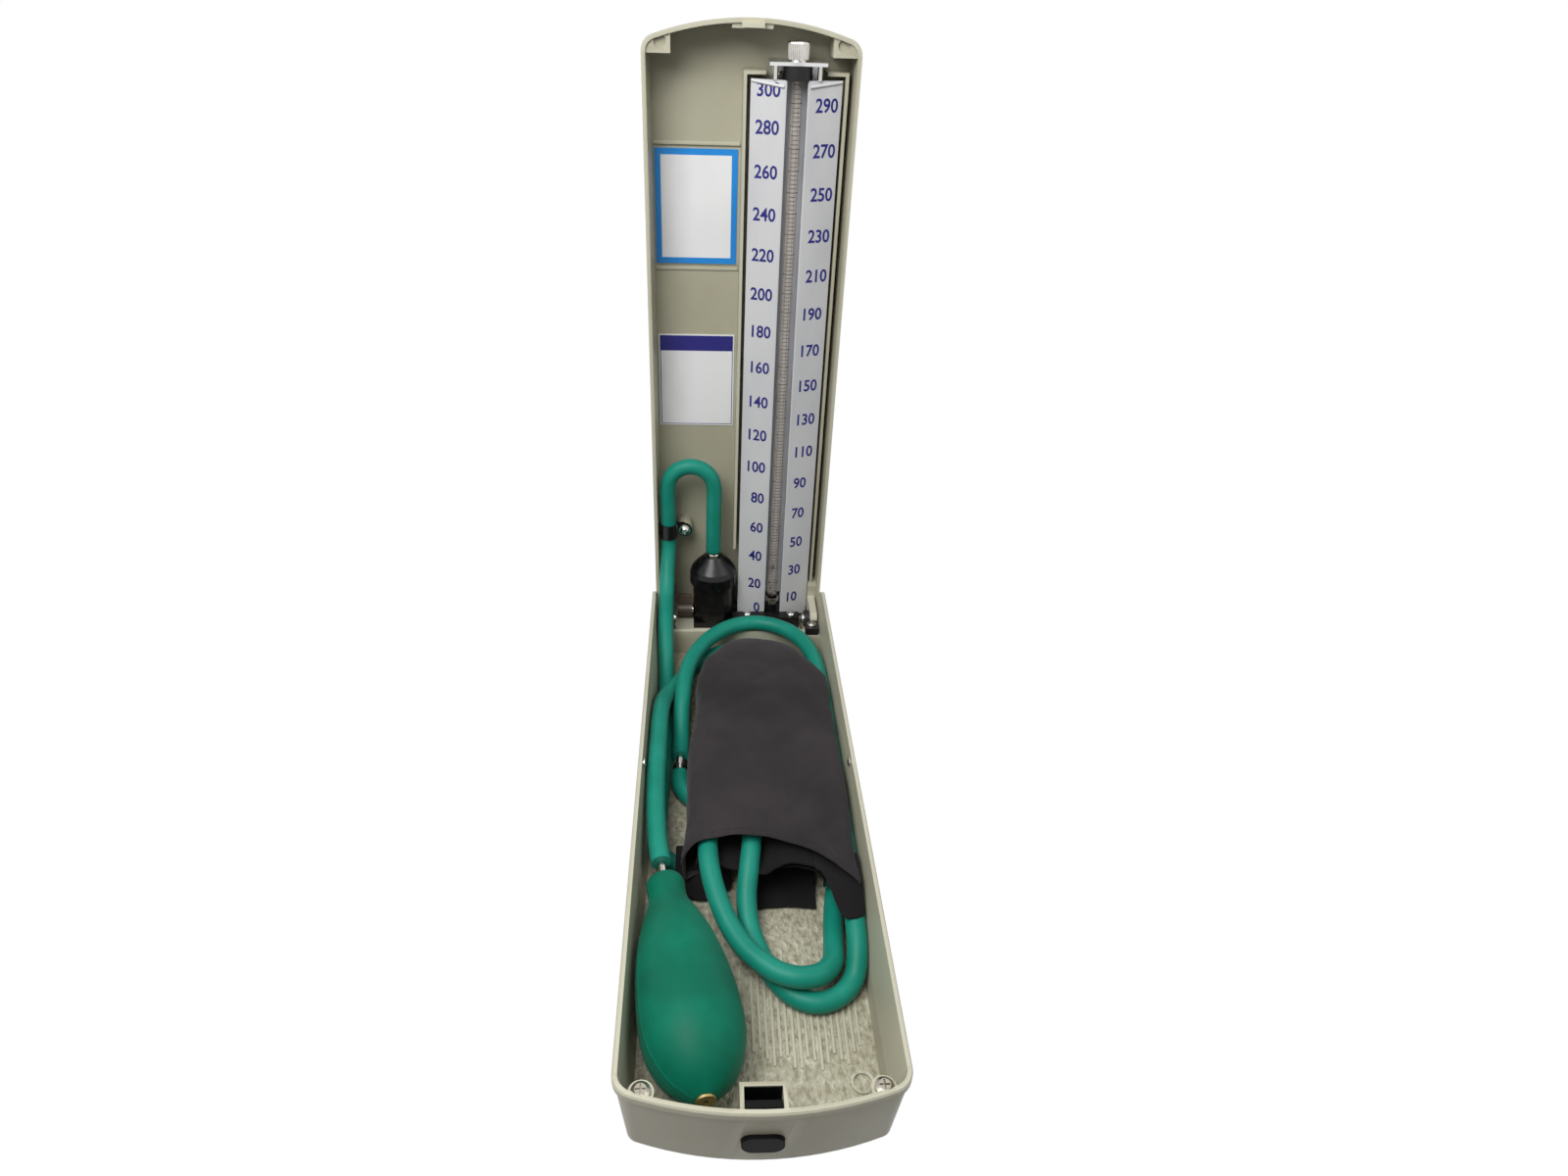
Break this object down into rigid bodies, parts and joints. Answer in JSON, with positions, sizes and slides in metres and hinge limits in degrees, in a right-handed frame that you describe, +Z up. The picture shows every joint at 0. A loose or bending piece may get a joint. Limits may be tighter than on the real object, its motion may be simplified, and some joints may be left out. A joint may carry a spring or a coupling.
{
  "type": "mercury sphygmomanometer",
  "caption": "Portable mercury sphygmomanometer in a hinged khaki case, lid open with the scale tube and reservoir, rolled cuff, rubber tubing and squeeze bulb in the tray",
  "frame": {"origin": "middle of the tray's flat underside", "axes": "+X to the right seen from the latch end, +Y from the latch end to the hinge, +Z up"},
  "size_m": [0.104, 0.3548, 0.334],
  "materials": {
    "case": "khaki enamel on a light alloy shell",
    "bracket": "black enamel",
    "plated": "bright nickel plate",
    "steel": "fine brushed",
    "washer": "thin friction washer",
    "black_plastic": "moulded black",
    "label_blue": "bare plate with a blue border, no text",
    "label_white": "bare white plate, no text",
    "scale": "white anodised face with plain numbers and ticks",
    "glass": "clear capillary tube",
    "mercury": "liquid metal",
    "gasket": "red fibre ring",
    "lever": "moulded brown-grey",
    "cloth": "plain woven charcoal cloth",
    "bladder": "thin rubber",
    "bulb_rubber": "smooth moulded, satin",
    "hose_rubber": "smooth drawn, satin",
    "brass": "dull brass"
  },
  "bodies": {
    "tray": {"tray_shell": "case", "hinge_bracket_left": "bracket", "hinge_bracket_right": "bracket", "hinge_bracket_screws": "plated", "hinge_pins": "plated", "hinge_washers": "washer", "corner_screws": "plated", "side_rivets": "plated", "latch_spring": "plated", "cuff_wrap": "cloth", "cuff_bladder": "bladder", "bulb": "bulb_rubber", "bulb_inlet_valve": "brass", "bulb_connector": "plated", "hose_joiner": "plated", "hose_to_bulb": "hose_rubber", "hose_to_gauge": "hose_rubber", "gauge_hose_tray": "hose_rubber", "gauge_hose_bend": "hose_rubber"},
    "lid": {"lid_shell": "case", "label_plate_upper": "label_blue", "label_plate_lower": "label_white", "scale_plate": "scale", "scale_screws": "plated", "glass_tube": "glass", "tube_gland": "plated", "tube_top_bush": "black_plastic", "tube_bracket": "steel", "bracket_posts": "plated", "bracket_screws": "plated", "filler_cap": "plated", "manifold": "black_plastic", "manifold_screws": "plated", "mercury": "mercury", "reservoir_barrel": "black_plastic", "reservoir_cap": "black_plastic", "reservoir_gasket": "gasket", "hose_nozzle": "plated", "hose_clip": "black_plastic", "hose_clip_washer": "plated", "hose_clip_screw": "plated", "gauge_hose_lid": "hose_rubber"},
    "latch": {"latch_button": "black_plastic"},
    "lock": {"lock_plug": "plated", "lock_lever": "lever"}
  },
  "joints": [
    {"name": "lid_hinge", "type": "hinge", "parent": "tray", "child": "lid", "pos_m": [0, 0.14925, 0.021], "axis": [1, 0, 0], "range_deg": [0, 90], "deforming": ["gauge_hose_bend"]},
    {"name": "latch_press", "type": "slide", "parent": "tray", "child": "latch", "axis": [0, 1, 0], "range_m": [0, 0.0014], "stiffness_N_per_m": 800, "deforming": ["latch_spring"]},
    {"name": "lock_turn", "type": "hinge", "parent": "lid", "child": "lock", "pos_m": [-0.0155, 0.171, 0.013], "axis": [1, 0, 0], "range_deg": [0, 90]}
  ]
}
